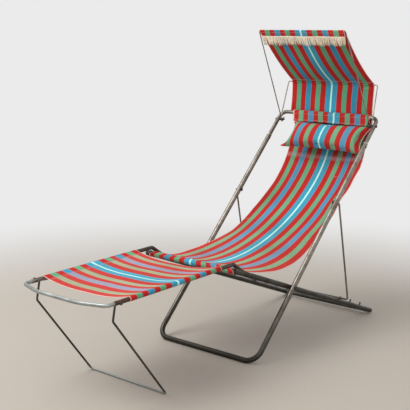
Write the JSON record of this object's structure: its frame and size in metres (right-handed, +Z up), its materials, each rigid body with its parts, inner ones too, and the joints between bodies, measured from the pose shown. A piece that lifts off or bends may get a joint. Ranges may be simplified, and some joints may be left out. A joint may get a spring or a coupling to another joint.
{
  "type": "folding sun lounger",
  "caption": "Folding sun lounger of crossed steel tube frames with a striped canvas sling, a hinged footrest on a rod leg, a propped back, a headrest pillow and a tilting fringed canopy.",
  "frame": {"origin": "on the ground, at the middle of the lounger's width and length", "axes": "+Z up, +Y towards the head end, +X across the seat, to the right of someone who looks towards the head end"},
  "size_m": [0.571, 1.7065, 1.3047],
  "materials": {
    "worn_steel": "worn bare steel tube, dull with scratches and small rust spots",
    "dark_steel": "dark grey painted and tarnished steel, semi-gloss",
    "rusty_steel": "dark tube with brown rust",
    "galvanised_steel": "pale zinc-coated tube",
    "striped_canvas": "plain-weave cotton canvas with woven stripes in red, green, blue and white",
    "fringe": "cream cotton fringe"
  },
  "bodies": {
    "seat_frame": {"seat_rail_right": "dark_steel", "seat_rail_left": "dark_steel", "seat_front_bar": "dark_steel", "seat_rear_bar": "dark_steel", "stop_studs": "dark_steel", "sling": "striped_canvas", "footrest_bolts": "dark_steel", "footrest_spacers": "dark_steel", "footrest_nuts": "dark_steel"},
    "back_frame": {"back_lower_tube": "worn_steel", "back_top_bow": "worn_steel", "bow_rivets": "dark_steel", "pivot_bolts": "dark_steel", "pivot_spacers": "dark_steel", "pivot_nuts": "dark_steel", "headrest_flap": "striped_canvas", "headrest_pillow": "striped_canvas", "canopy_bolts": "dark_steel", "canopy_inner_washers": "dark_steel", "canopy_wing_nuts": "dark_steel"},
    "prop": {"prop_bail": "worn_steel", "prop_end_washers": "dark_steel"},
    "footrest": {"footrest_rail_right": "rusty_steel", "footrest_rail_left": "rusty_steel", "footrest_end_bow": "galvanised_steel", "footrest_cloth": "striped_canvas"},
    "footrest_leg": {"footrest_leg": "dark_steel", "leg_end_washers": "dark_steel"},
    "canopy_rear": {"canopy_rear_bail": "dark_steel", "canopy_eye_washers": "dark_steel", "canopy_panel": "striped_canvas", "canopy_roof": "striped_canvas"},
    "canopy_front": {"canopy_front_bail": "dark_steel", "canopy_hem": "striped_canvas", "canopy_fringe": "fringe"}
  },
  "joints": [
    {"name": "frame_fold", "type": "hinge", "parent": "seat_frame", "child": "back_frame", "pos_m": [0, 0.18468, 0.26722], "axis": [1, 0, 0], "range_deg": [0, 75], "deforming": ["sling"]},
    {"name": "prop_swing", "type": "hinge", "parent": "back_frame", "child": "prop", "pos_m": [0, 0.48767, 0.57879], "axis": [1, 0, 0], "range_deg": [-46.5, 0]},
    {"name": "footrest_flip", "type": "hinge", "parent": "seat_frame", "child": "footrest", "pos_m": [0, -0.06341, 0.36316], "axis": [1, 0, 0], "range_deg": [-85, 0]},
    {"name": "leg_fold", "type": "hinge", "parent": "footrest", "child": "footrest_leg", "pos_m": [0, -0.75648, 0.4083], "axis": [1, 0, 0], "range_deg": [0, 52]},
    {"name": "canopy_tilt", "type": "hinge", "parent": "back_frame", "child": "canopy_rear", "pos_m": [0, 0.78327, 0.88276], "axis": [1, 0, 0], "range_deg": [-8, 45], "deforming": ["canopy_panel"]},
    {"name": "canopy_spread", "type": "hinge", "parent": "canopy_rear", "child": "canopy_front", "pos_m": [0, 0.78327, 0.88276], "axis": [1, 0, 0], "range_deg": [-36, 0], "deforming": ["canopy_roof"]}
  ],
  "couplings": [
    {"joint": "prop_swing", "follows": "frame_fold", "ratio": -0.62}
  ]
}
